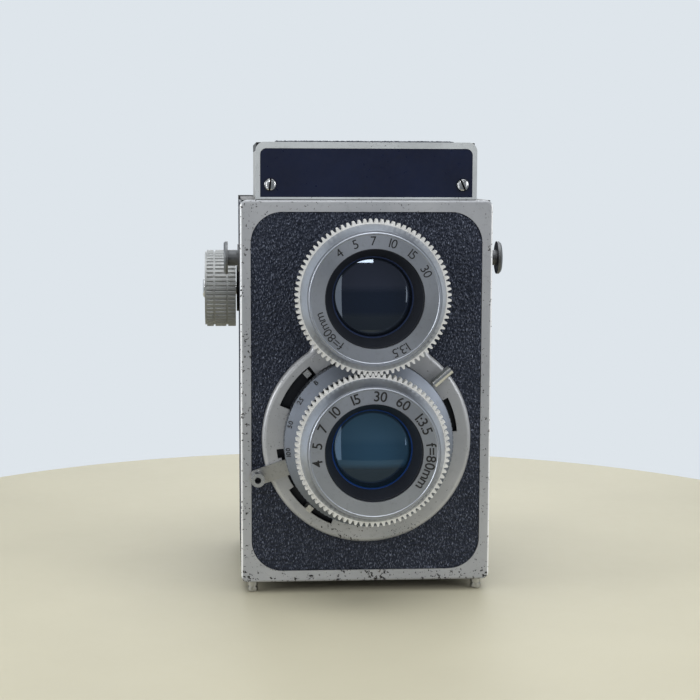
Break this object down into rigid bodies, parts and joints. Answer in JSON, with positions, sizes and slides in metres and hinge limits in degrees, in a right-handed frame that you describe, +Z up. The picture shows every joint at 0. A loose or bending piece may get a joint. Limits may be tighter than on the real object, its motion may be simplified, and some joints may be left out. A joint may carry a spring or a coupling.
{
  "type": "twin lens reflex camera",
  "caption": "Box-shaped twin lens reflex camera with geared focusing rings, folding waist-level hood, hinged back cover, winding knob and strap lugs.",
  "frame": {"origin": "mouth of the tripod socket, in the middle of the body's underside", "axes": "+Z up, the lenses look along -Y, +X to the right as one faces the lenses"},
  "size_m": [0.0879, 0.0983, 0.1302],
  "materials": {
    "black_enamel": "satin black enamel",
    "silver_paint": "grey-silver paint, chipped at the edges",
    "leatherette": "black pebbled leatherette",
    "satin_aluminium": "satin turned aluminium",
    "bright_chrome": "worn bright chrome",
    "blued_steel": "blued spring steel",
    "matt_black": "matt black",
    "lens_glass": "coated optical glass",
    "ground_glass": "finely ground",
    "mirror_glass": "front-silvered glass",
    "red_glass": "clear red",
    "navy_enamel": "gloss navy enamel"
  },
  "bodies": {
    "camera_body": {"body_casting": "black_enamel", "front_panel": "silver_paint", "front_leather": "leatherette", "shutter_plate": "silver_paint", "shutter_housing": "satin_aluminium", "viewing_mount": "satin_aluminium", "rear_lens_glass": "lens_glass", "shutter_blades": "blued_steel", "flash_sync_post": "bright_chrome", "side_leathers": "leatherette", "strap_lugs": "bright_chrome", "feet": "bright_chrome", "spool_pins": "bright_chrome", "tripod_bush": "bright_chrome", "viewing_mirror": "mirror_glass", "light_cone": "matt_black", "knob_base": "black_enamel", "back_hinge_pin": "bright_chrome", "hood_frame": "silver_paint", "nameplate": "silver_paint", "nameplate_enamel": "navy_enamel", "nameplate_screws": "bright_chrome", "hood_wires": "bright_chrome", "focusing_screen": "ground_glass"},
    "viewing_sleeve": {"viewing_lens_sleeve": "satin_aluminium", "viewing_lens_glass": "lens_glass", "viewing_lens_retainer": "matt_black"},
    "viewing_ring": {"viewing_focus_gear": "satin_aluminium", "viewing_lens_bezel": "satin_aluminium"},
    "taking_sleeve": {"taking_lens_sleeve": "satin_aluminium", "taking_lens_glass": "lens_glass", "taking_lens_retainer": "matt_black"},
    "taking_ring": {"taking_focus_gear": "satin_aluminium", "taking_lens_bezel": "satin_aluminium"},
    "speed_ring": {"speed_ring": "satin_aluminium"},
    "aperture_lever": {"aperture_lever": "bright_chrome"},
    "delay_lever": {"delay_lever": "bright_chrome"},
    "release_lever": {"release_lever": "bright_chrome", "release_button": "bright_chrome"},
    "winding": {"winding_knob": "satin_aluminium", "winding_shaft": "bright_chrome", "knob_screw": "bright_chrome", "takeup_spool": "black_enamel"},
    "supply_spool": {"supply_spool": "black_enamel"},
    "film_roller": {"film_roller": "bright_chrome"},
    "hood_lid": {"hood_lid": "black_enamel", "lid_leather": "leatherette"},
    "magnifier": {"magnifier_frame": "black_enamel", "magnifier_lens": "lens_glass"},
    "right_flap": {"right_flap": "black_enamel"},
    "left_flap": {"left_flap": "black_enamel"},
    "rear_flap": {"rear_flap": "black_enamel"},
    "back_cover": {"back_cover": "black_enamel", "back_leather": "leatherette", "window_frame": "black_enamel", "window_glass": "red_glass", "pressure_plate": "black_enamel", "pressure_springs": "blued_steel"},
    "window_slide": {"window_slide": "black_enamel"},
    "back_latch": {"back_latch": "bright_chrome"}
  },
  "joints": [
    {"name": "viewing_focus_slide", "type": "slide", "parent": "camera_body", "child": "viewing_sleeve", "axis": [0, -1, 0], "range_m": [0, 0.0024]},
    {"name": "viewing_ring_turn", "type": "hinge", "parent": "viewing_sleeve", "child": "viewing_ring", "pos_m": [0, -0.0355, 0.084], "axis": [0, -1, 0], "range_deg": [0, 275]},
    {"name": "taking_focus_slide", "type": "slide", "parent": "camera_body", "child": "taking_sleeve", "axis": [0, -1, 0], "range_m": [0, 0.0024]},
    {"name": "taking_ring_turn", "type": "hinge", "parent": "taking_sleeve", "child": "taking_ring", "pos_m": [0, -0.0355, 0.042], "axis": [0, -1, 0], "range_deg": [-275, 0]},
    {"name": "speed_ring_turn", "type": "hinge", "parent": "camera_body", "child": "speed_ring", "pos_m": [0, -0.0355, 0.042], "axis": [0, -1, 0], "range_deg": [0, 66]},
    {"name": "aperture_lever_turn", "type": "hinge", "parent": "camera_body", "child": "aperture_lever", "pos_m": [0, -0.0355, 0.042], "axis": [0, -1, 0], "range_deg": [-11.5, 14.5]},
    {"name": "delay_lever_turn", "type": "hinge", "parent": "camera_body", "child": "delay_lever", "pos_m": [0, -0.0355, 0.042], "axis": [0, -1, 0], "range_deg": [0, 23]},
    {"name": "release_press", "type": "hinge", "parent": "camera_body", "child": "release_lever", "pos_m": [0, -0.0355, 0.042], "axis": [0, 1, 0], "range_deg": [0, 9], "stiffness_Nm_per_rad": 0.02, "springref_deg": -5.73},
    {"name": "winding_turn", "type": "hinge", "parent": "camera_body", "child": "winding", "pos_m": [-0.0418, 0.019, 0.0813], "axis": [-1, 0, 0], "continuous": true},
    {"name": "supply_spool_turn", "type": "hinge", "parent": "camera_body", "child": "supply_spool", "pos_m": [0, -0.0207, 0.0146], "axis": [-1, 0, 0], "continuous": true},
    {"name": "film_roller_turn", "type": "hinge", "parent": "camera_body", "child": "film_roller", "pos_m": [0, 0.027, 0.0093], "axis": [-1, 0, 0], "continuous": true},
    {"name": "lid_open", "type": "hinge", "parent": "camera_body", "child": "hood_lid", "pos_m": [0, -0.0306, 0.1249], "axis": [1, 0, 0], "range_deg": [0, 90]},
    {"name": "magnifier_swing", "type": "hinge", "parent": "hood_lid", "child": "magnifier", "pos_m": [0, -0.0006, 0.1235], "axis": [1, 0, 0], "range_deg": [-90, 0]},
    {"name": "right_flap_raise", "type": "hinge", "parent": "camera_body", "child": "right_flap", "pos_m": [0.0294, -0.0017, 0.1175], "axis": [0, 1, 0], "range_deg": [0, 90]},
    {"name": "left_flap_raise", "type": "hinge", "parent": "camera_body", "child": "left_flap", "pos_m": [-0.0294, -0.0017, 0.1175], "axis": [0, -1, 0], "range_deg": [0, 90]},
    {"name": "rear_flap_raise", "type": "hinge", "parent": "camera_body", "child": "rear_flap", "pos_m": [0, 0.0276, 0.1155], "axis": [-1, 0, 0], "range_deg": [0, 90]},
    {"name": "back_open", "type": "hinge", "parent": "camera_body", "child": "back_cover", "pos_m": [0, 0.0327, 0.1084], "axis": [1, 0, 0], "range_deg": [0, 130]},
    {"name": "window_slide_move", "type": "slide", "parent": "back_cover", "child": "window_slide", "axis": [1, 0, 0], "range_m": [0, 0.012]},
    {"name": "latch_move", "type": "slide", "parent": "back_cover", "child": "back_latch", "axis": [1, 0, 0], "range_m": [0, 0.004]}
  ],
  "couplings": [
    {"joint": "taking_focus_slide", "follows": "viewing_focus_slide", "ratio": 1},
    {"joint": "viewing_ring_turn", "follows": "viewing_focus_slide", "rad_per_m": 1999.9},
    {"joint": "taking_ring_turn", "follows": "viewing_focus_slide", "rad_per_m": -1999.9},
    {"joint": "magnifier_swing", "follows": "lid_open", "ratio": -1},
    {"joint": "right_flap_raise", "follows": "lid_open", "ratio": 1},
    {"joint": "left_flap_raise", "follows": "lid_open", "ratio": 1},
    {"joint": "rear_flap_raise", "follows": "lid_open", "ratio": 1}
  ]
}
